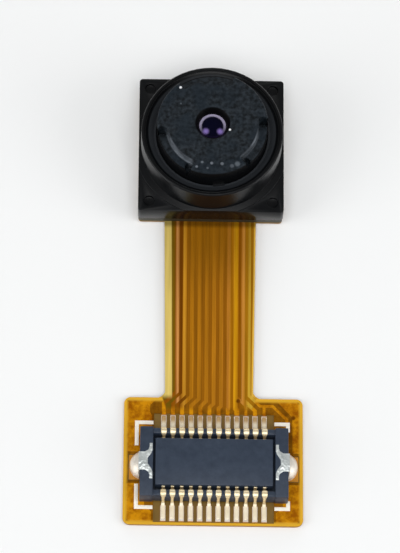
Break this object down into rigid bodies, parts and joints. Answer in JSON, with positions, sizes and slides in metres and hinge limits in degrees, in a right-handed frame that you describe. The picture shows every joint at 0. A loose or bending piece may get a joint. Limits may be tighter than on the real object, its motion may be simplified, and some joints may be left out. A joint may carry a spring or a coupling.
{
  "type": "phone camera module",
  "caption": "Compact phone camera module: square black lens head with a round turret, and a short amber flex tail ending in a fine-pitch board connector.",
  "frame": {"origin": "on the lens axis, in the plane of the head's back face", "axes": "+Z along the lens axis, the way the lens looks; -Y along the flex tail towards the connector; +X completes the right-handed frame"},
  "size_m": [0.0078, 0.0209, 0.0038],
  "materials": {
    "stiffener_steel": "thin stamped stainless plate, fine grain",
    "glue_film": "thin clear adhesive film",
    "cover_film": "see-through amber polyimide, glossy",
    "core_film": "amber polyimide, glossy",
    "copper_foil": "etched copper foil, satin",
    "gold_plating": "thin gold plating, bright",
    "white_ink": "printed white ink",
    "glass_epoxy": "glass-filled epoxy board, sawn edge",
    "black_glue": "cured black epoxy",
    "silicon": "polished silicon",
    "capacitor_ceramic": "fired ceramic",
    "tin_plating": "tin-plated copper alloy, satin",
    "holder_plastic": "moulded black liquid-crystal polymer, semi-gloss",
    "barrel_plastic": "moulded black plastic, spark-eroded matt face",
    "filter_glass": "coated infrared filter glass",
    "lens_resin": "moulded optical resin, coated",
    "black_film": "black stamped film",
    "connector_plastic": "moulded dark liquid-crystal polymer",
    "solder": "reflowed tin solder, bright"
  },
  "bodies": {
    "root": {"stiffener_plate": "stiffener_steel", "plate_film": "glue_film", "lower_cover": "cover_film", "lower_copper": "copper_foil", "flex_core": "core_film", "upper_copper": "copper_foil", "contact_lands": "gold_plating", "upper_cover": "cover_film", "corner_marks": "white_ink", "pad_film": "glue_film", "pad_stiffener": "core_film", "sensor_board": "glass_epoxy", "holder_glue": "black_glue", "die_film": "glue_film", "sensor_die": "silicon", "bond_pads": "gold_plating", "bond_wires": "gold_plating", "capacitors": "capacitor_ceramic", "capacitor_ends": "tin_plating", "lens_holder": "holder_plastic", "filter_glue": "black_glue", "ir_filter": "filter_glass", "lens_barrel": "barrel_plastic", "focus_glue": "black_glue", "front_lens": "lens_resin", "aperture_ring": "black_film", "middle_lens": "lens_resin", "spacer_ring": "black_film", "rear_lens": "lens_resin", "lens_retainer": "barrel_plastic", "connector_housing": "connector_plastic", "far_contacts": "gold_plating", "near_contacts": "gold_plating", "contact_solder": "solder", "left_clip": "tin_plating", "right_clip": "tin_plating", "clip_solder": "solder"}
  },
  "joints": []
}
